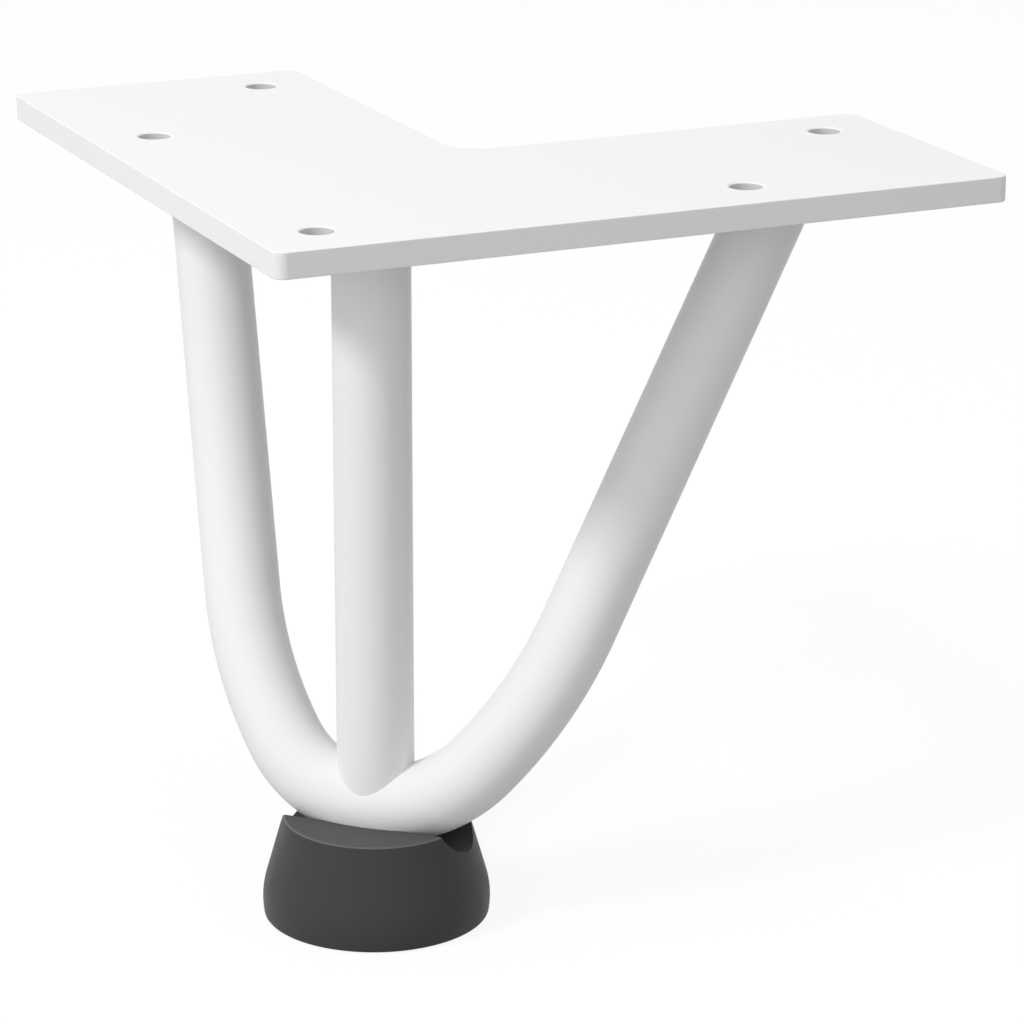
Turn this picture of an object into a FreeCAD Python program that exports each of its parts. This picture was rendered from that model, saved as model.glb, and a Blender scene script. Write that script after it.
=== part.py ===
import FreeCAD, Part

import math
import os

from FreeCAD import Vector

# Hairpin table leg: a hairpin rod and a straight rod welded under an L-shaped mounting
# plate, and a moulded foot cap pressed over the bend.
# Origin: on the plate's top face, where the centre lines of its two arms cross.
# +X runs along the right arm, +Y along the left arm and +Z up into the table top.
# Lengths are in millimetres and angles in degrees.

# Mounting plate
arm_length = 120.0  # from the plate's outer corner to the end of each arm
arm_width = 50.0
plate_thickness = 4.0
outer_corner_radius = 3.0
inner_corner_radius = 6.0
plate_edge_chamfer = 0.3

# Screw holes
screw_hole_diameter = 5.1
outer_edge_margin = 10.5  # from a hole's centre to the outer edges and to the arm's end
inner_edge_margin = 10.0  # from an end hole's centre to the arm's inner edge
middle_hole_reach = 80.0  # from the plate's outer corner, along the arm

# Round bar of both rods
rod_diameter = 12.0

# Hairpin rod, measured on its axis
bend_offset = -1.2  # along the diagonal, towards the plate's outer corner
hairpin_lean = 27.5  # between the hairpin's plane and the vertical
bend_radius = 21.0
bend_angle = 52.0  # the slope at which the tight bend ends
leg_curve_radius = 68.0
leg_slope = 74.0  # the slope of the straight legs in the hairpin's plane

# Straight rod
straight_rod_offset = -0.4  # along the diagonal, towards the plate's outer corner

# Weld beads
plate_weld_size = 2.2
bend_weld_size = 1.5
bend_weld_length = 2.6
bend_weld_gap = 1.2  # between the two beads

# Foot cap
foot_offset = -0.5  # along the diagonal, towards the plate's outer corner
floor_depth = 113.6  # from the plate's top face to the floor
foot_height = 16.1
foot_diameter = 35.5  # at its widest
foot_widest_height = 2.5
foot_side_radius = 13.3
foot_taper = 16.0
foot_edge_chamfer = 0.4  # along the rim and round the base
sole_thickness = 12.0  # of plastic under the channel
seat_clearance = 0.1

# Worked out from the sizes above
rod_radius = rod_diameter / 2
plate_underside = -plate_thickness
corner_reach = arm_width / 2
foot_top = foot_height - floor_depth
channel_radius = rod_radius + seat_clearance
channel_height = sole_thickness + channel_radius - floor_depth
bend_depth = -channel_height  # down to the lowest point of the bend's axis
up = Vector(0, 0, 1)
inward = Vector(1, 1, 0).normalize()
across = Vector(1, -1, 0).normalize()
hairpin_up = inward * math.sin(math.radians(hairpin_lean)) + up * math.cos(math.radians(hairpin_lean))


def on_diagonal(offset, height):
    """The point at that offset along the plate's diagonal, and at that height."""
    return inward * offset + up * height


def plate_point(along_x, along_y):
    """A point of the top face, given from the plate's outer corner."""
    return Vector(along_x - corner_reach, along_y - corner_reach, 0)


def rounded_outline(corners, radii):
    """A closed wire through the corners, each rounded to its own radius."""
    edges = []
    starts, ends = [], []
    for i, (corner, radius) in enumerate(zip(corners, radii)):
        back = (corners[i - 1] - corner).normalize()
        ahead = (corners[(i + 1) % len(corners)] - corner).normalize()
        half_turn = back.getAngle(ahead) / 2
        reach = radius / math.tan(half_turn)
        centre_way = (back + ahead).normalize()
        middle = corner + centre_way * (radius / math.sin(half_turn) - radius)
        starts.append(corner + back * reach)
        ends.append(corner + ahead * reach)
        edges.append(Part.Arc(starts[-1], middle, ends[-1]).toShape())
    for i, end in enumerate(ends):
        edges.append(Part.makeLine(end, starts[(i + 1) % len(starts)]))
    return Part.Wire(Part.sortEdges(edges)[0])


def screw_hole_centres():
    """The corner hole, then a middle and an end hole in each arm."""
    margin = outer_edge_margin
    end_along = arm_length - outer_edge_margin
    end_across = arm_width - inner_edge_margin
    return [
        plate_point(margin, margin),
        plate_point(middle_hole_reach, margin),
        plate_point(margin, middle_hole_reach),
        plate_point(end_along, end_across),
        plate_point(end_across, end_along),
    ]


def mounting_plate():
    """The L-shaped plate, drilled, with every cut edge broken."""
    corners = [
        plate_point(0, 0),
        plate_point(arm_length, 0),
        plate_point(arm_length, arm_width),
        plate_point(arm_width, arm_width),
        plate_point(arm_width, arm_length),
        plate_point(0, arm_length),
    ]
    radii = [outer_corner_radius] * len(corners)
    radii[3] = inner_corner_radius
    plate = Part.Face(rounded_outline(corners, radii)).extrude(Vector(0, 0, plate_underside))
    for centre in screw_hole_centres():
        plate = plate.cut(Part.makeCylinder(screw_hole_diameter / 2, plate_thickness, centre, -up))
    flat_edges = [e for e in plate.Edges if e.BoundBox.ZLength < plate_edge_chamfer]
    return plate.makeChamfer(plate_edge_chamfer, flat_edges)


def hairpin_point(sideways, upward):
    """A point of the hairpin's plane, measured from the lowest point of the bend's axis."""
    return on_diagonal(bend_offset, -bend_depth) + across * sideways + hairpin_up * upward


def hairpin_path():
    """The axis from one leg's top, round the bend, to the other's; the legs run on past the plate."""
    bend_end = math.radians(bend_angle)
    slope = math.radians(leg_slope)

    def tight(angle):
        return bend_radius * math.sin(angle), bend_radius * (1 - math.cos(angle))

    def wide(angle):
        start = tight(bend_end)
        sideways = start[0] + leg_curve_radius * (math.sin(angle) - math.sin(bend_end))
        upward = start[1] + leg_curve_radius * (math.cos(bend_end) - math.cos(angle))
        return sideways, upward

    rise = bend_depth / math.cos(math.radians(hairpin_lean)) + rod_diameter - wide(slope)[1]
    leg_top = (wide(slope)[0] + rise / math.tan(slope), wide(slope)[1] + rise)
    bottom = hairpin_point(0, 0)
    edges = [Part.Arc(hairpin_point(*tight(-bend_end)), bottom, hairpin_point(*tight(bend_end))).toShape()]
    for side in (-1, 1):
        def place(point):
            return hairpin_point(side * point[0], point[1])

        edges.append(Part.makeLine(place(leg_top), place(wide(slope))))
        middle = place(wide((slope + bend_end) / 2))
        edges.append(Part.Arc(place(wide(slope)), middle, place(wide(bend_end))).toShape())
    return Part.Wire(Part.sortEdges(edges)[0])


def round_bar(path, radius):
    """A round bar of that radius along the path."""
    start = path.OrderedVertexes[0].Point
    way = path.OrderedEdges[0].tangentAt(path.OrderedEdges[0].FirstParameter)
    section = Part.Wire(Part.makeCircle(radius, start, way))
    return path.makePipe(Part.Face(section))


def slab(bottom, top):
    """A block wider than the whole leg, between two heights."""
    reach = 2 * arm_length
    return Part.makeBox(2 * reach, 2 * reach, top - bottom, Vector(-reach, -reach, bottom))


def hairpin_bar(radius):
    """The hairpin at that radius, with both legs cut off flat under the plate."""
    return round_bar(hairpin_path(), radius).cut(slab(plate_underside, 2 * rod_diameter))


def straight_rod(hairpin):
    """The upright rod, its lower end coped over the upper half of the bend."""
    foot = on_diagonal(straight_rod_offset, -bend_depth)
    bar = Part.makeCylinder(rod_radius, plate_underside + bend_depth, foot, up)
    return bar.cut(hairpin)


def foot_body():
    """The turned body: a belly just above the floor that runs into a cone."""
    taper = math.radians(foot_taper)
    edge = foot_edge_chamfer
    base = -floor_depth
    hub = Vector(foot_diameter / 2 - foot_side_radius, 0, base + foot_widest_height)

    def belly(angle):
        return hub + Vector(math.cos(angle), 0, math.sin(angle)) * foot_side_radius

    belly_start = belly(math.asin((edge - foot_widest_height) / foot_side_radius))
    belly_end = belly(taper)
    rim = belly_end + Vector(-math.tan(taper), 0, 1) * (foot_top - edge - belly_end.z)
    corners = [
        rim,
        Vector(rim.x - edge, 0, foot_top),
        Vector(0, 0, foot_top),
        Vector(0, 0, base),
        Vector(belly_start.x - edge, 0, base),
        belly_start,
    ]
    sides = [Part.makeLine(start, end) for start, end in zip(corners, corners[1:])]
    side = [Part.Arc(belly_start, belly(0), belly_end).toShape(), Part.makeLine(belly_end, rim)]
    body = Part.Face(Part.Wire(sides + side)).revolve(Vector(0, 0, 0), up, 360)
    body.translate(on_diagonal(foot_offset, 0))
    return body


def foot_channel():
    """The straight round-bottomed channel across the cap, open at both ends and above."""
    start = on_diagonal(foot_offset, channel_height) - across * foot_diameter
    return Part.makeCylinder(channel_radius, 2 * foot_diameter, start, across)


def foot_cap():
    """The moulded cap, with its channel and the seat that the leaning bend is pressed into."""
    return foot_body().cut([foot_channel(), hairpin_bar(channel_radius)])


def bar_tops():
    """Where each bar's axis meets the plate's underside, and which way it runs there."""
    tops = [(on_diagonal(straight_rod_offset, plate_underside), up)]
    path = hairpin_path().OrderedEdges
    for leg in (path[0], path[-1]):
        start = leg.valueAt(leg.FirstParameter)
        way = leg.tangentAt(leg.FirstParameter)
        tops.append((start + way * ((plate_underside - start.z) / way.z), way))
    return tops


def level_ring(point, way, radius):
    """The level section, at that point, of a round bar that runs that way."""
    reach = way * (2 * radius)
    return Part.makeCylinder(radius, 2 * reach.Length, point - reach, way).slice(up, point.z)[0]


def plate_welds(rods):
    """A fillet weld round each bar's top, as wide on the plate as it is deep on the bar."""
    beads = []
    for top, way in bar_tops():
        inside = top - way * (2 * plate_weld_size / way.z)
        rings = [
            level_ring(top, way, rod_radius + plate_weld_size),
            level_ring(inside, way, rod_radius - plate_weld_size),
        ]
        beads.append(Part.makeLoft(rings, True, True).cut(rods))
    return Part.makeCompound(beads)


def bend_welds(rods):
    """Two short beads, side by side, where the upright rod's back meets the bend."""
    middle = on_diagonal(straight_rod_offset + rod_radius, -bend_depth)
    beads = []
    for side in (-1, 1):
        start = middle + across * (side * bend_weld_gap / 2)
        beads.append(Part.makeCylinder(bend_weld_size, bend_weld_length, start, across * side).cut(rods))
    return Part.makeCompound(beads)


def main():
    """Writes one file for each piece."""
    os.makedirs("parts", exist_ok=True)
    hairpin = hairpin_bar(rod_radius)
    upright = straight_rod(hairpin)
    pieces = {
        "mounting_plate": mounting_plate(),
        "hairpin_rod": hairpin,
        "straight_rod": upright,
        "plate_welds": plate_welds([hairpin, upright]),
        "bend_welds": bend_welds([hairpin, upright]),
        "foot_cap": foot_cap(),
    }
    for name, shape in pieces.items():
        shape.exportStep(f"parts/{name}.step")


main()
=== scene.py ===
import math

import bpy
from mathutils import Matrix, Vector


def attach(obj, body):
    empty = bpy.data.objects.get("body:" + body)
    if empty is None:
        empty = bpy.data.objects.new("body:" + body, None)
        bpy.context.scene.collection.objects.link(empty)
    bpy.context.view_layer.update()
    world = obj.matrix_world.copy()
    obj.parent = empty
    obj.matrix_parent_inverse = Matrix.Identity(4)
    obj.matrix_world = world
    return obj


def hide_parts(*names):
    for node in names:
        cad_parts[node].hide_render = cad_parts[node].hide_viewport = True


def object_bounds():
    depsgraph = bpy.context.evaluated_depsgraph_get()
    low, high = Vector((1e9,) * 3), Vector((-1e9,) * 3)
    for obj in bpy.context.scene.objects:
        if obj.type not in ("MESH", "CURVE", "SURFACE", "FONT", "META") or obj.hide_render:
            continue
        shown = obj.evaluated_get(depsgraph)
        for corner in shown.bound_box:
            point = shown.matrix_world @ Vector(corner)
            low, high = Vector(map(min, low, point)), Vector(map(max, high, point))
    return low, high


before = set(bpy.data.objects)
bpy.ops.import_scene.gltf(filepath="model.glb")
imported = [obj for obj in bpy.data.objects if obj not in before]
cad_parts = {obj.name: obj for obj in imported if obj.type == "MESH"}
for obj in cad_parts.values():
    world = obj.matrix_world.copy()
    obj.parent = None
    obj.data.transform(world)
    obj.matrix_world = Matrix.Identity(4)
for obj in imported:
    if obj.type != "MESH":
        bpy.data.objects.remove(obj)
cad_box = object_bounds()

# Hairpin table leg: white powder-coated steel on a moulded foot cap, on a pale studio floor.
# Metres, in the CAD's own frame: the plate's top face is at z = 0 and the leg hangs below it.

# Camera
eye = Vector((-0.224133, -0.543921, 0.138432))
camera_azimuth = 24.4326
camera_elevation = 17.6429
camera_roll = 0.087
lens_length = 142.713

# Light, as the brightness that it gives a white surface facing it
key_strength = 0.42
key_azimuth = 186.0
key_elevation = 41.0
key_width = 0.2  # widths are a share of the lamp's distance
key_colour = (1.0, 0.99, 0.97)
side_strength = 0.20
side_azimuth = 200.0
front_strength = 0.115
front_azimuth = 265.0
top_strength = 0.25
top_azimuth = 90.0
top_elevation = 88.0
fill_elevation = 12.0
fill_width = 0.9
sky_strength = 0.472
lamp_distance = 1.2

# Floor
floor_size = 30
floor_gap = 0.00005  # below the cap
floor_bounce = (0.39, 0.37, 0.378)  # its colour to the light
floor_seen = (0.13, 0.13, 0.13)  # its colour to the camera, on top of its glow
floor_glow = 0.89

# Sizes of the leg: as in the CAD, but for the outer corners, the roundings and the beads' puddles
mm = 0.001
arm_length = 120 * mm
arm_width = 50 * mm
plate_thickness = 4 * mm
outer_corner_radius = 2 * mm  # the CAD's corners are rounder
inner_corner_radius = 6 * mm
edge_rounding = 0.14 * mm
hole_radius = 2.55 * mm
hole_rounding = 0.3 * mm
outer_margin = 10.5 * mm
inner_margin = 10 * mm
middle_hole_reach = 80 * mm
bar_radius = 6 * mm
bend_offset = -1.2 * mm
hairpin_lean = math.radians(27.5)
bend_radius = 21 * mm
bend_angle = math.radians(52)
leg_curve_radius = 68 * mm
leg_slope = math.radians(74)
upright_offset = -0.4 * mm
plate_weld_size = 2.2 * mm
bend_weld_length = 2.6 * mm
bend_weld_gap = 1.2 * mm
plate_weld_puddles = 26
plate_weld_inset = 0.25  # how far the puddles stand off bar and plate, as a share of the weld's size
puddle_size = 0.78  # the puddles' radius, as a share of the weld's size, and how far it varies
puddle_swell = 0.03
bend_weld_shift = 0.12 * mm  # between the three puddles of a bead
cap_offset = -0.5 * mm
cap_height = 16.1 * mm
cap_radius = 17.75 * mm
cap_widest_height = 2.5 * mm
cap_side_radius = 13.3 * mm
cap_taper = math.radians(16)
base_rounding = 0.45 * mm
rim_rounding = 0.2 * mm
sole_thickness = 12 * mm
seat_clearance = 0.1 * mm

# Fineness of the meshes
post_sides = 96
hole_sides = 64
cap_sides = 144
bar_sides = 72
bend_steps = 24
leg_curve_steps = 18
puddle_sides = 20
puddle_rings = 12
weld_grain = 0.19 * mm
touching = 0.001 * mm  # points nearer to each other than this are one

# Finish
grain_depth = 0.01 * mm
swell_share = 0.12  # the scale of the slow swell, as a share of the fine grain's
steel_white = (0.885, 0.885, 0.885)
bore_painted_shade_white = (0.70, 0.70, 0.70)  # painted shade: darker than the rest, inside the screw holes
foot_grey = (0.0525, 0.0525, 0.0497)
# Painted light on the cap: a lighter grey for the top face where the light from above falls, and a
# lighter still painted highlight for its rim
foot_top_painted_light_grey = (0.084, 0.084, 0.081)
foot_lip_painted_highlight_grey = (0.132, 0.132, 0.128)

floor_height = cad_box[0].z
bend_height = floor_height + sole_thickness + seat_clearance + bar_radius
up = Vector((0, 0, 1))
inward = Vector((1, 1, 0)).normalized()
across = Vector((1, -1, 0)).normalized()
hairpin_up = inward * math.sin(hairpin_lean) + up * math.cos(hairpin_lean)
bend_bottom = inward * bend_offset + up * bend_height
object_centre = Vector((0.02, 0.02, floor_height / 2))


def deselect_all():
    """Nothing is selected or active afterwards."""
    for thing in bpy.context.selected_objects:
        thing.select_set(False)
    bpy.context.view_layer.objects.active = None


def add_node(tree, kind, **values):
    """A shader node with some of its inputs set."""
    node = tree.nodes.new(kind)
    for name, value in values.items():
        node.inputs[name.replace("_", " ")].default_value = value
    return node


def fine_grain_group():
    """A shader group: fine rounded bumps with a slow swell, for powder coat and moulded plastic."""
    tree = bpy.data.node_groups.new("fine_grain", "ShaderNodeTree")
    tree.interface.new_socket("Scale", in_out="INPUT", socket_type="NodeSocketFloat")
    tree.interface.new_socket("Swell", in_out="INPUT", socket_type="NodeSocketFloat")
    tree.interface.new_socket("Height", in_out="OUTPUT", socket_type="NodeSocketFloat")
    tree.interface.new_socket("Mask", in_out="OUTPUT", socket_type="NodeSocketFloat")
    entry = tree.nodes.new("NodeGroupInput")
    leave = tree.nodes.new("NodeGroupOutput")
    place = tree.nodes.new("ShaderNodeTexCoord")
    fine = add_node(tree, "ShaderNodeTexNoise", Detail=2.0, Roughness=0.5)
    slow = add_node(tree, "ShaderNodeTexNoise", Detail=1.0, Roughness=0.4)
    slow_scale = tree.nodes.new("ShaderNodeMath")
    slow_scale.operation = "MULTIPLY"
    slow_scale.inputs[1].default_value = swell_share
    blend = tree.nodes.new("ShaderNodeMath")
    blend.operation = "MULTIPLY_ADD"
    links = tree.links
    links.new(entry.outputs["Scale"], fine.inputs["Scale"])
    links.new(entry.outputs["Scale"], slow_scale.inputs[0])
    links.new(slow_scale.outputs[0], slow.inputs["Scale"])
    for texture in (fine, slow):
        links.new(place.outputs["Object"], texture.inputs["Vector"])
    links.new(slow.outputs["Fac"], blend.inputs[0])
    links.new(entry.outputs["Swell"], blend.inputs[1])
    links.new(fine.outputs["Fac"], blend.inputs[2])
    links.new(blend.outputs[0], leave.inputs["Height"])
    links.new(slow.outputs["Fac"], leave.inputs["Mask"])
    return tree


def grained_material(name, grain, colour, dark, roughness, shine, scale, swell):
    """A Principled material whose colour, gloss and bump follow the fine grain group.

    dark is what is left of the colour where it is darkest, and shine is how much it mirrors.
    """
    material = bpy.data.materials.new(name)
    material.use_nodes = True
    tree = material.node_tree
    shader = tree.nodes["Principled BSDF"]
    shader.inputs["Specular IOR Level"].default_value = shine
    group = tree.nodes.new("ShaderNodeGroup")
    group.node_tree = grain
    group.inputs["Scale"].default_value = scale
    group.inputs["Swell"].default_value = swell
    tint = tree.nodes.new("ShaderNodeMix")
    tint.data_type = "RGBA"
    tint.inputs["A"].default_value = (*(c * dark for c in colour), 1)
    tint.inputs["B"].default_value = (*colour, 1)
    gloss = tree.nodes.new("ShaderNodeMapRange")
    gloss.inputs["From Min"].default_value = 0.3
    gloss.inputs["From Max"].default_value = 0.7
    gloss.inputs["To Min"].default_value = roughness[0]
    gloss.inputs["To Max"].default_value = roughness[1]
    bump = tree.nodes.new("ShaderNodeBump")
    bump.inputs["Distance"].default_value = grain_depth
    links = tree.links
    links.new(group.outputs["Mask"], tint.inputs["Factor"])
    links.new(tint.outputs["Result"], shader.inputs["Base Color"])
    links.new(group.outputs["Mask"], gloss.inputs["Value"])
    links.new(gloss.outputs["Result"], shader.inputs["Roughness"])
    links.new(group.outputs["Height"], bump.inputs["Height"])
    links.new(bump.outputs["Normal"], shader.inputs["Normal"])
    return material


def paint_cap_top_light(material):
    """Paints light onto the cap's colour: its top face lighter than its side, as the light from above
    falls on it, and a painted highlight along the rounded edge between them.
    """
    tree = material.node_tree
    tint = next(node for node in tree.nodes if node.type == "MIX")
    shader = tree.nodes["Principled BSDF"]
    surface = tree.nodes.new("ShaderNodeNewGeometry")
    facing = tree.nodes.new("ShaderNodeSeparateXYZ")
    place = tree.nodes.new("ShaderNodeTexCoord")
    level = tree.nodes.new("ShaderNodeSeparateXYZ")
    near_top = tree.nodes.new("ShaderNodeMath")
    near_top.operation = "GREATER_THAN"
    near_top.inputs[1].default_value = floor_height + cap_height - 1.5 * rim_rounding
    links = tree.links
    links.new(surface.outputs["Normal"], facing.inputs[0])
    links.new(place.outputs["Object"], level.inputs[0])
    links.new(level.outputs["Z"], near_top.inputs[0])
    colour = tint.outputs["Result"]
    # painted light: the ramps turn the upward-facing top into the lighter top grey, and the rim's slant
    # into a painted highlight
    painted_top_light_stops = ((0.75, 0), (0.98, 1))
    painted_lip_highlight_stops = ((0.3, 0), (0.5, 1), (0.9, 1), (0.98, 0))
    for grey, stops in ((foot_top_painted_light_grey, painted_top_light_stops), (foot_lip_painted_highlight_grey, painted_lip_highlight_stops)):
        ramp = tree.nodes.new("ShaderNodeValToRGB")
        while len(ramp.color_ramp.elements) < len(stops):
            ramp.color_ramp.elements.new(0.5)
        for stop, (position, value) in zip(ramp.color_ramp.elements, stops):
            stop.position = position
            stop.color = (value, value, value, 1)
        mask = tree.nodes.new("ShaderNodeMath")
        mask.operation = "MULTIPLY"
        layer = tree.nodes.new("ShaderNodeMix")
        layer.data_type = "RGBA"
        layer.inputs["B"].default_value = (*grey, 1)
        links.new(facing.outputs["Z"], ramp.inputs["Fac"])
        links.new(ramp.outputs["Color"], mask.inputs[0])
        links.new(near_top.outputs[0], mask.inputs[1])
        links.new(mask.outputs[0], layer.inputs["Factor"])
        links.new(colour, layer.inputs["A"])
        colour = layer.outputs["Result"]
    links.new(colour, shader.inputs["Base Color"])


def ray_that_sees(tree):
    """1 for rays that show things to the camera, mirrored or through glass too, and 0 for light."""
    path = tree.nodes.new("ShaderNodeLightPath")
    straight = tree.nodes.new("ShaderNodeMath")
    straight.operation = "MAXIMUM"
    mirrored = tree.nodes.new("ShaderNodeMath")
    mirrored.operation = "MAXIMUM"
    tree.links.new(path.outputs["Is Camera Ray"], straight.inputs[0])
    tree.links.new(path.outputs["Is Transmission Ray"], straight.inputs[1])
    tree.links.new(straight.outputs[0], mirrored.inputs[0])
    tree.links.new(path.outputs["Is Glossy Ray"], mirrored.inputs[1])
    return mirrored.outputs[0]


def floor_material():
    """Pale grey to the light, near white to the camera, and open from below."""
    material = bpy.data.materials.new("studio_floor")
    material.use_nodes = True
    tree = material.node_tree
    tree.nodes.clear()
    out = tree.nodes.new("ShaderNodeOutputMaterial")
    side = tree.nodes.new("ShaderNodeNewGeometry")
    bounce = add_node(tree, "ShaderNodeBsdfDiffuse", Color=(*floor_bounce, 1))
    seen = add_node(tree, "ShaderNodeBsdfDiffuse", Color=(*floor_seen, 1))
    glow = add_node(tree, "ShaderNodeEmission", Strength=floor_glow)
    lit = tree.nodes.new("ShaderNodeAddShader")
    shown = tree.nodes.new("ShaderNodeMixShader")
    open_below = tree.nodes.new("ShaderNodeMixShader")
    clear = tree.nodes.new("ShaderNodeBsdfTransparent")
    links = tree.links
    links.new(seen.outputs[0], lit.inputs[0])
    links.new(glow.outputs[0], lit.inputs[1])
    links.new(ray_that_sees(tree), shown.inputs["Fac"])
    links.new(bounce.outputs[0], shown.inputs[1])
    links.new(lit.outputs[0], shown.inputs[2])
    links.new(side.outputs["Backfacing"], open_below.inputs["Fac"])
    links.new(shown.outputs[0], open_below.inputs[1])
    links.new(clear.outputs[0], open_below.inputs[2])
    links.new(open_below.outputs[0], out.inputs["Surface"])
    return material


def studio_floor():
    """A wide plain floor just under the foot."""
    deselect_all()
    bpy.ops.mesh.primitive_plane_add(size=floor_size, location=(0, 0, floor_height - floor_gap))
    floor = bpy.context.object
    floor.name = "studio_floor"
    bpy.ops.object.transform_apply(location=True, rotation=True, scale=True)
    floor.data.materials.append(floor_material())


def soft_world():
    """Even light from everywhere, white where the camera sees it."""
    world = bpy.data.worlds.new("studio_air")
    world.use_nodes = True
    bpy.context.scene.world = world
    tree = world.node_tree
    tree.nodes.clear()
    out = tree.nodes.new("ShaderNodeOutputWorld")
    air = add_node(tree, "ShaderNodeBackground", Color=(1, 1, 1, 1), Strength=sky_strength)
    white = add_node(tree, "ShaderNodeBackground", Color=(1, 1, 1, 1), Strength=1.0)
    shown = tree.nodes.new("ShaderNodeMixShader")
    links = tree.links
    links.new(ray_that_sees(tree), shown.inputs["Fac"])
    links.new(air.outputs[0], shown.inputs[1])
    links.new(white.outputs[0], shown.inputs[2])
    links.new(shown.outputs[0], out.inputs["Surface"])


def soft_lamp(name, azimuth, elevation, strength, width, colour=(1, 1, 1)):
    """A round lamp aimed at the leg; strength is what it adds to a white surface that faces it.

    It gives no glare of its own, so that the plate stays off-white from every side.
    """
    turn = math.radians(azimuth)
    rise = math.radians(elevation)
    way = Vector((math.cos(turn) * math.cos(rise), math.sin(turn) * math.cos(rise), math.sin(rise)))
    data = bpy.data.lights.new(name, "AREA")
    data.shape = "DISK"
    data.size = width * lamp_distance
    data.energy = strength * math.pi * math.pi * lamp_distance ** 2
    data.color = colour
    lamp = bpy.data.objects.new(name, data)
    bpy.context.collection.objects.link(lamp)
    lamp.location = object_centre + way * lamp_distance
    lamp.rotation_mode = "QUATERNION"
    lamp.rotation_quaternion = way.to_track_quat("Z", "Y")
    lamp.visible_camera = False
    lamp.visible_glossy = False


def studio_camera():
    """The photograph's viewpoint, lens and roll."""
    data = bpy.data.cameras.new("studio_camera")
    data.sensor_width = 36
    data.lens = lens_length
    data.clip_start = 0.01
    data.clip_end = 100
    camera = bpy.data.objects.new("studio_camera", data)
    bpy.context.collection.objects.link(camera)
    turn = Matrix.Rotation(math.radians(-camera_azimuth), 4, "Z")
    tilt = Matrix.Rotation(math.radians(90 - camera_elevation), 4, "X")
    roll = Matrix.Rotation(math.radians(camera_roll), 4, "Z")
    camera.matrix_world = Matrix.Translation(eye) @ turn @ tilt @ roll
    bpy.context.scene.camera = camera


def edit(piece):
    """Opens one piece for editing, with nothing in it selected."""
    deselect_all()
    piece.select_set(True)
    bpy.context.view_layer.objects.active = piece
    bpy.ops.object.mode_set(mode="EDIT")
    bpy.ops.mesh.select_mode(type="VERT")
    bpy.ops.mesh.select_all(action="DESELECT")


def close_edit():
    bpy.ops.object.mode_set(mode="OBJECT")


def pick_vertices(piece, wanted):
    """Selects the vertices whose place passes the test, and leaves the piece open for editing."""
    edit(piece)
    close_edit()
    for vertex in piece.data.vertices:
        vertex.select = wanted(vertex.co)
    bpy.ops.object.mode_set(mode="EDIT")


def pick_edges(piece, wanted):
    """Selects the edges both of whose ends pass the test together."""
    edit(piece)
    bpy.ops.mesh.select_mode(type="EDGE")
    close_edit()
    places = [vertex.co for vertex in piece.data.vertices]
    for line in piece.data.edges:
        line.select = wanted(places[line.vertices[0]], places[line.vertices[1]])
    bpy.ops.object.mode_set(mode="EDIT")


def settle(piece, name, angle=30):
    """Applies the transform, points the faces outwards and shades the piece smooth by angle."""
    edit(piece)
    bpy.ops.mesh.select_all(action="SELECT")
    bpy.ops.mesh.remove_doubles(threshold=touching)
    bpy.ops.mesh.normals_make_consistent(inside=False)
    close_edit()
    bpy.ops.object.transform_apply(location=True, rotation=True, scale=True)
    bpy.ops.object.shade_smooth_by_angle(angle=math.radians(angle))
    piece.name = name
    piece.data.name = name
    return piece


def apply_modifier(piece, kind, **values):
    """Adds a modifier with those values and applies it."""
    deselect_all()
    piece.select_set(True)
    bpy.context.view_layer.objects.active = piece
    modifier = piece.modifiers.new(kind.lower(), kind)
    for name, value in values.items():
        setattr(modifier, name, value)
    bpy.ops.object.modifier_apply(modifier=modifier.name)


def cut_away(piece, cutter):
    """Cuts one closed piece out of another; the cutter stays."""
    apply_modifier(piece, "BOOLEAN", operation="DIFFERENCE", solver="EXACT", object=cutter)


def discard(piece):
    bpy.data.objects.remove(piece, do_unlink=True)


def join(pieces):
    """Makes one piece of several."""
    deselect_all()
    for piece in pieces:
        piece.select_set(True)
    bpy.context.view_layer.objects.active = pieces[0]
    bpy.ops.object.join()
    return pieces[0]


def round_post(radius, bottom, top, sides=post_sides):
    """A closed cylinder between two points."""
    way = top - bottom
    deselect_all()
    bpy.ops.mesh.primitive_cylinder_add(vertices=sides, radius=radius, depth=way.length)
    post = bpy.context.object
    lean = way.to_track_quat("Z", "Y").to_matrix().to_4x4()
    post.matrix_world = Matrix.Translation((bottom + top) / 2) @ lean
    bpy.ops.object.transform_apply(location=True, rotation=True, scale=True)
    return post


def turn_post(post, centre, rings):
    """Shapes a post as on a lathe; each ring has a height and the scale of the post there."""
    edit(post)
    for height, _ in rings[1:-1]:
        bpy.ops.mesh.select_all(action="SELECT")
        bpy.ops.mesh.bisect(plane_co=(0, 0, height), plane_no=(0, 0, 1))
    close_edit()
    for height, scale in rings:
        pick_vertices(post, lambda place: abs(place.z - height) < touching)
        bpy.ops.transform.resize(value=(scale, scale, 1), center_override=centre)
        close_edit()
    return post


def screw_hole_centres():
    """The corner hole, then a middle and an end hole in each arm."""
    start = -arm_width / 2
    margin = start + outer_margin
    middle = start + middle_hole_reach
    end = start + arm_length - outer_margin
    inner = start + arm_width - inner_margin
    return [(margin, margin), (middle, margin), (margin, middle), (end, inner), (inner, end)]


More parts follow.
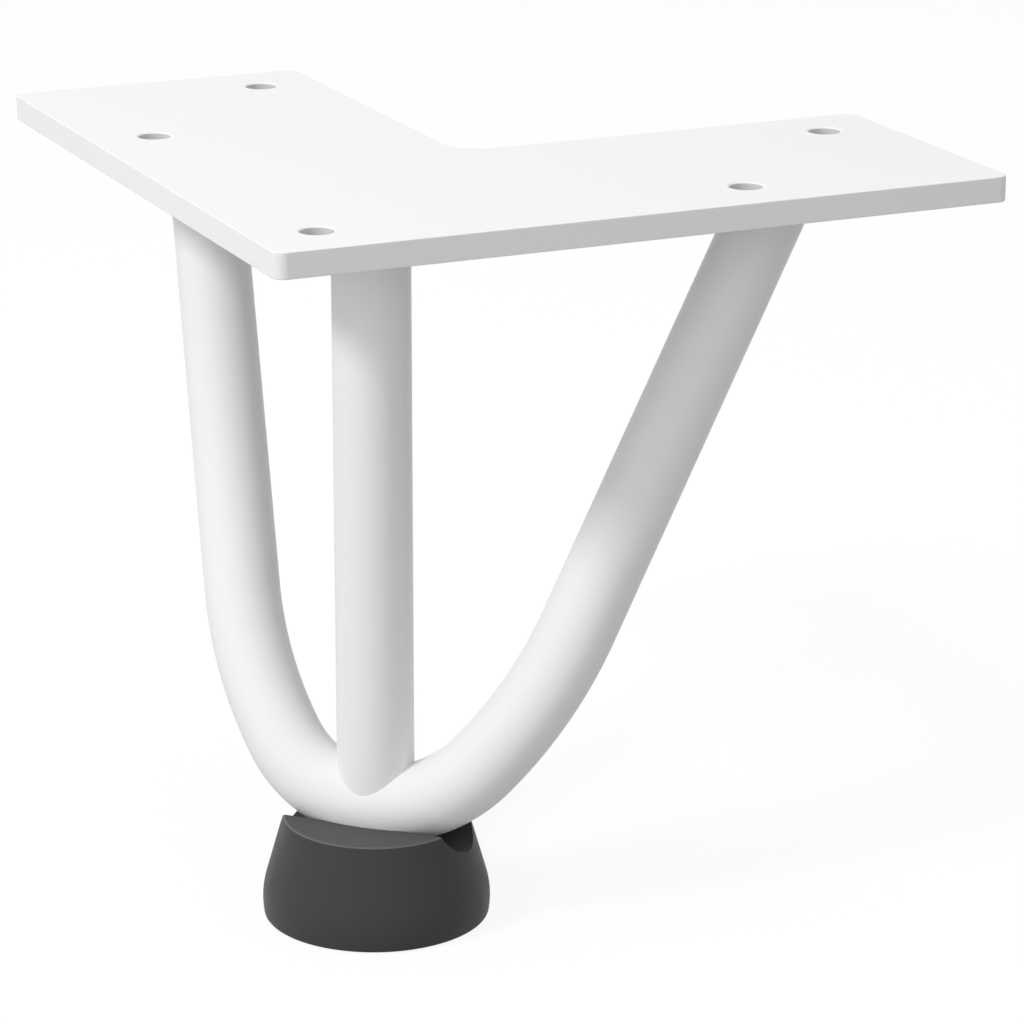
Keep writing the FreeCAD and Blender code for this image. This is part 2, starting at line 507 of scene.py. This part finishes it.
def hole_drill(x, y):
    """A drill that widens at both faces of the plate, so that the hole's edges come out rounded."""
    centre = Vector((x, y, 0))
    bottom, top = -2 * plate_thickness, plate_thickness
    drill = round_post(hole_radius, centre + up * bottom, centre + up * top, hole_sides)
    turns = [math.pi / 2 * step / 4 for step in range(5)]
    depths = [hole_rounding * (1 - math.cos(turn)) for turn in turns]
    depths[0] = -0.01 * mm  # the widest ring stands just clear of the face that it cuts
    scales = [1 + hole_rounding * (1 - math.sin(turn)) / hole_radius for turn in turns]
    upper = [(-depth, scale) for depth, scale in zip(depths, scales)]
    lower = [(depth - plate_thickness, scale) for depth, scale in zip(depths, scales)]
    rings = [(top, scales[0]), *upper, *reversed(lower), (bottom, scales[0])]
    return turn_post(drill, centre, rings)


def mounting_plate():
    """The L-shaped plate, its cut edges rounded by the coat, then drilled."""
    half = arm_width / 2
    reach = arm_length - arm_width
    deselect_all()
    bpy.ops.mesh.primitive_plane_add(size=arm_width)
    plate = bpy.context.object
    for side, move in ((0, (reach, 0, 0)), (1, (0, reach, 0))):
        pick_vertices(plate, lambda place: abs(place[side] - half) < mm and place[1 - side] < half + mm)
        bpy.ops.mesh.extrude_region_move(TRANSFORM_OT_translate={"value": move})
        close_edit()
    edit(plate)
    bpy.ops.mesh.select_all(action="SELECT")
    bpy.ops.mesh.remove_doubles(threshold=touching)
    bpy.ops.mesh.dissolve_limited(angle_limit=math.radians(1))
    bpy.ops.mesh.select_all(action="SELECT")
    bpy.ops.mesh.extrude_region_move(TRANSFORM_OT_translate={"value": (0, 0, -plate_thickness)})
    close_edit()

    def upright_at(first, second, inner):
        is_inner = (first - Vector((half, half, first.z))).length < mm
        return (first - second).xy.length < mm and is_inner == inner

    for inner, radius in ((False, outer_corner_radius), (True, inner_corner_radius)):
        pick_edges(plate, lambda first, second: upright_at(first, second, inner))
        bpy.ops.mesh.bevel(offset=radius, segments=10, affect="EDGES")
        close_edit()
    settle(plate, "rounded_plate")
    sharp = {"limit_method": "ANGLE", "angle_limit": math.radians(40)}
    apply_modifier(plate, "BEVEL", width=edge_rounding, segments=4, **sharp)
    for x, y in screw_hole_centres():
        drill = hole_drill(x, y)
        cut_away(plate, drill)
        discard(drill)
    settle(plate, "rounded_plate", 35)
    apply_modifier(plate, "WEIGHTED_NORMAL", keep_sharp=True, weight=100)
    return plate


def paint_bore_shade(plate, material):
    """Gives the walls of the screw holes a material of their own, whose darker colour paints the shade
    inside the holes.
    """
    plate.data.materials.append(material)
    centres = [Vector(centre) for centre in screw_hole_centres()]
    for face in plate.data.polygons:
        for centre in centres:
            if (face.center.xy - centre).length < 1.01 * hole_radius:
                face.material_index = 1


def hairpin_bar(radius):
    """The hairpin, spun round its curves, mirrored, leant back and cut off under the plate."""
    deselect_all()
    bpy.ops.mesh.primitive_circle_add(vertices=bar_sides, radius=radius, rotation=(0, math.pi / 2, 0))
    bar = bpy.context.object
    bpy.ops.object.transform_apply(location=True, rotation=True, scale=True)
    edit(bar)
    bpy.ops.mesh.select_all(action="SELECT")
    out = Vector((math.sin(bend_angle), -math.cos(bend_angle), 0))
    bend_centre = Vector((0, bend_radius, 0))
    curve_centre = bend_centre + out * (bend_radius - leg_curve_radius)
    turn = leg_slope - bend_angle
    bpy.ops.mesh.spin(steps=bend_steps, angle=-bend_angle, center=bend_centre, axis=(0, 0, 1))
    bpy.ops.mesh.spin(steps=leg_curve_steps, angle=-turn, center=curve_centre, axis=(0, 0, 1))
    way = Vector((math.cos(leg_slope), math.sin(leg_slope), 0))
    bpy.ops.mesh.extrude_region_move(TRANSFORM_OT_translate={"value": way * arm_length})
    close_edit()
    apply_modifier(bar, "MIRROR", use_axis=(True, False, False), merge_threshold=touching)
    lean = Matrix((across, hairpin_up, across.cross(hairpin_up))).transposed().to_4x4()
    bar.matrix_world = Matrix.Translation(bend_bottom) @ lean
    bpy.ops.object.transform_apply(location=True, rotation=True, scale=True)
    edit(bar)
    bpy.ops.mesh.select_all(action="SELECT")
    underside = (0, 0, -plate_thickness)
    bpy.ops.mesh.bisect(plane_co=underside, plane_no=(0, 0, 1), use_fill=True, clear_outer=True)
    close_edit()
    return settle(bar, "smooth_hairpin")


def upright_bar(hairpin):
    """The upright rod, coped over the upper half of the bend."""
    foot = inward * upright_offset
    bar = round_post(bar_radius, foot + up * bend_height, foot - up * plate_thickness)
    cut_away(bar, hairpin)
    return settle(bar, "smooth_upright", 40)


def bar_tops():
    """Where each bar's axis meets the plate's underside, and which way it runs there."""
    tops = [(inward * upright_offset - up * plate_thickness, up)]
    sideways = bend_radius * math.sin(bend_angle)
    sideways += leg_curve_radius * (math.sin(leg_slope) - math.sin(bend_angle))
    upward = bend_radius * (1 - math.cos(bend_angle))
    upward += leg_curve_radius * (math.cos(bend_angle) - math.cos(leg_slope))
    for side in (-1, 1):
        start = bend_bottom + across * side * sideways + hairpin_up * upward
        way = across * side * math.cos(leg_slope) + hairpin_up * math.sin(leg_slope)
        tops.append((start + way * ((-plate_thickness - start.z) / way.z), way))
    return tops


def weld_puddle(place, radius):
    """One puddle of weld metal."""
    deselect_all()
    shape = {"segments": puddle_sides, "ring_count": puddle_rings}
    bpy.ops.mesh.primitive_uv_sphere_add(radius=radius, location=place, **shape)
    bpy.ops.object.transform_apply(location=True, rotation=True, scale=True)
    return bpy.context.object


def rippled_bead(puddles):
    """Puddles run together into one rippled bead."""
    bead = join(puddles)
    apply_modifier(bead, "REMESH", mode="VOXEL", voxel_size=weld_grain)
    apply_modifier(bead, "SMOOTH", factor=0.5, iterations=3)
    return bead


def block_over_underside():
    """A block in the plate's place, to cut the weld beads level with its underside."""
    deselect_all()
    height = 2 * plate_weld_size
    middle = (0, 0, height / 2 - plate_thickness)
    bpy.ops.mesh.primitive_cube_add(size=1, location=middle, scale=(1, 1, height))
    block = bpy.context.object
    bpy.ops.object.transform_apply(location=True, rotation=True, scale=True)
    return block


def plate_weld_beads():
    """A bead of overlapping puddles round each bar's top, cut level with the plate's underside."""
    block = block_over_underside()
    beads = []
    for top, way in bar_tops():
        puddles = []
        inset = plate_weld_inset * plate_weld_size
        long_way = Vector((way.x, way.y, 0)).normalized() if way.xy.length > 0.01 else inward
        short_way = up.cross(long_way)
        for step in range(plate_weld_puddles):
            angle = math.tau * step / plate_weld_puddles
            out = long_way * math.cos(angle) / way.z + short_way * math.sin(angle)
            place = top + out * (bar_radius + inset) - up * inset
            radius = plate_weld_size * (puddle_size + puddle_swell * math.sin(5 * angle))
            puddles.append(weld_puddle(place, radius))
        beads.append(rippled_bead(puddles))
        cut_away(beads[-1], block)
    discard(block)
    return settle(join(beads), "rippled_plate_welds", 50)


def bend_weld_beads():
    """The two short beads behind the upright rod."""
    middle = inward * (upright_offset + bar_radius) + up * bend_height
    puddles = []
    for side in (-1, 1):
        for shift in (-bend_weld_shift, 0, bend_weld_shift):
            along = (bend_weld_gap + bend_weld_length) / 2 + shift
            place = middle + across * side * along
            puddles.append(weld_puddle(place, bend_weld_length / 2 - abs(shift)))
    return settle(rippled_bead(puddles), "rippled_bend_welds", 50)


def cap_outline(height):
    """The cap's radius at a height above the floor: a belly, then a cone, with rounded rims."""
    belly_top = cap_widest_height + cap_side_radius * math.sin(cap_taper)
    if height < belly_top:
        rise = (height - cap_widest_height) / cap_side_radius
        radius = cap_radius - cap_side_radius * (1 - math.sqrt(1 - rise * rise))
    else:
        belly_radius = cap_radius - cap_side_radius * (1 - math.cos(cap_taper))
        radius = belly_radius - (height - belly_top) * math.tan(cap_taper)
    for near_end, rounding in ((height, base_rounding), (cap_height - height, rim_rounding)):
        inset = 1 - min(near_end / rounding, 1)
        radius -= rounding * (1 - math.sqrt(1 - inset * inset))
    return radius


def cap_heights():
    """The heights of the cap's rings: close together in the rounded rims, then along the side."""
    turns = [1 - math.cos(math.pi / 2 * step / 5) for step in range(1, 6)]
    base = [base_rounding * turn for turn in turns]
    side_height = cap_height - base_rounding - rim_rounding
    side = [base_rounding + side_height * step / 16 for step in range(1, 16)]
    rim = [cap_height - rim_rounding * turn for turn in reversed(turns)]
    return base + side + rim


def foot_cap():
    """The cap, shaped ring by ring from a plain cylinder, with its channel and the seat of the bend."""
    centre = inward * cap_offset
    base = centre + up * floor_height
    cap = round_post(cap_radius, base, base + up * cap_height, cap_sides)
    heights = [0, *cap_heights(), cap_height]
    rings = [(floor_height + height, cap_outline(height) / cap_radius) for height in heights]
    turn_post(cap, centre, rings)
    settle(cap, "smooth_cap")
    middle = centre + up * bend_height
    reach = across * 2 * cap_radius
    channel = round_post(bar_radius + seat_clearance, middle - reach, middle + reach)
    seat = hairpin_bar(bar_radius + seat_clearance)
    for cutter in (channel, seat):
        cut_away(cap, cutter)
        discard(cutter)
    return settle(cap, "moulded_cap", 28)


def stand_in(piece, node, material):
    """Puts a finished piece in the place of a CAD piece."""
    piece.data.materials.clear()
    piece.data.materials.append(material)
    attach(piece, "root")
    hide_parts(node)


bpy.context.scene.view_settings.view_transform = "Standard"
studio_camera()
soft_world()
studio_floor()
soft_lamp("key_lamp", key_azimuth, key_elevation, key_strength, key_width, key_colour)
soft_lamp("top_lamp", top_azimuth, top_elevation, top_strength, fill_width)
soft_lamp("side_lamp", side_azimuth, fill_elevation, side_strength, fill_width)
soft_lamp("front_lamp", front_azimuth, fill_elevation, front_strength, fill_width)

fine_grain = fine_grain_group()
powder_coat = grained_material(
    "powder_coat", fine_grain, steel_white,
    dark=0.985, roughness=(0.38, 0.46), shine=0.3, scale=900, swell=1.5,
)
# painted shade: the darker white stands in for the shade inside the screw holes
bore_painted_shade = grained_material(
    "bore_painted_shade", fine_grain, bore_painted_shade_white,
    dark=0.97, roughness=(0.5, 0.6), shine=0.2, scale=900, swell=1.5,
)
moulded_plastic = grained_material(
    "moulded_plastic", fine_grain, foot_grey,
    dark=0.93, roughness=(0.46, 0.54), shine=0.17, scale=2200, swell=0.6,
)
# painted light: the cap's top face and rim edge are lightened in its colour
paint_cap_top_light(moulded_plastic)

hairpin = hairpin_bar(bar_radius)
stand_in(upright_bar(hairpin), "straight_rod", powder_coat)
stand_in(hairpin, "hairpin_rod", powder_coat)
plate = mounting_plate()
stand_in(plate, "mounting_plate", powder_coat)
paint_bore_shade(plate, bore_painted_shade)
stand_in(plate_weld_beads(), "plate_welds", powder_coat)
stand_in(bend_weld_beads(), "bend_welds", powder_coat)
stand_in(foot_cap(), "foot_cap", moulded_plastic)
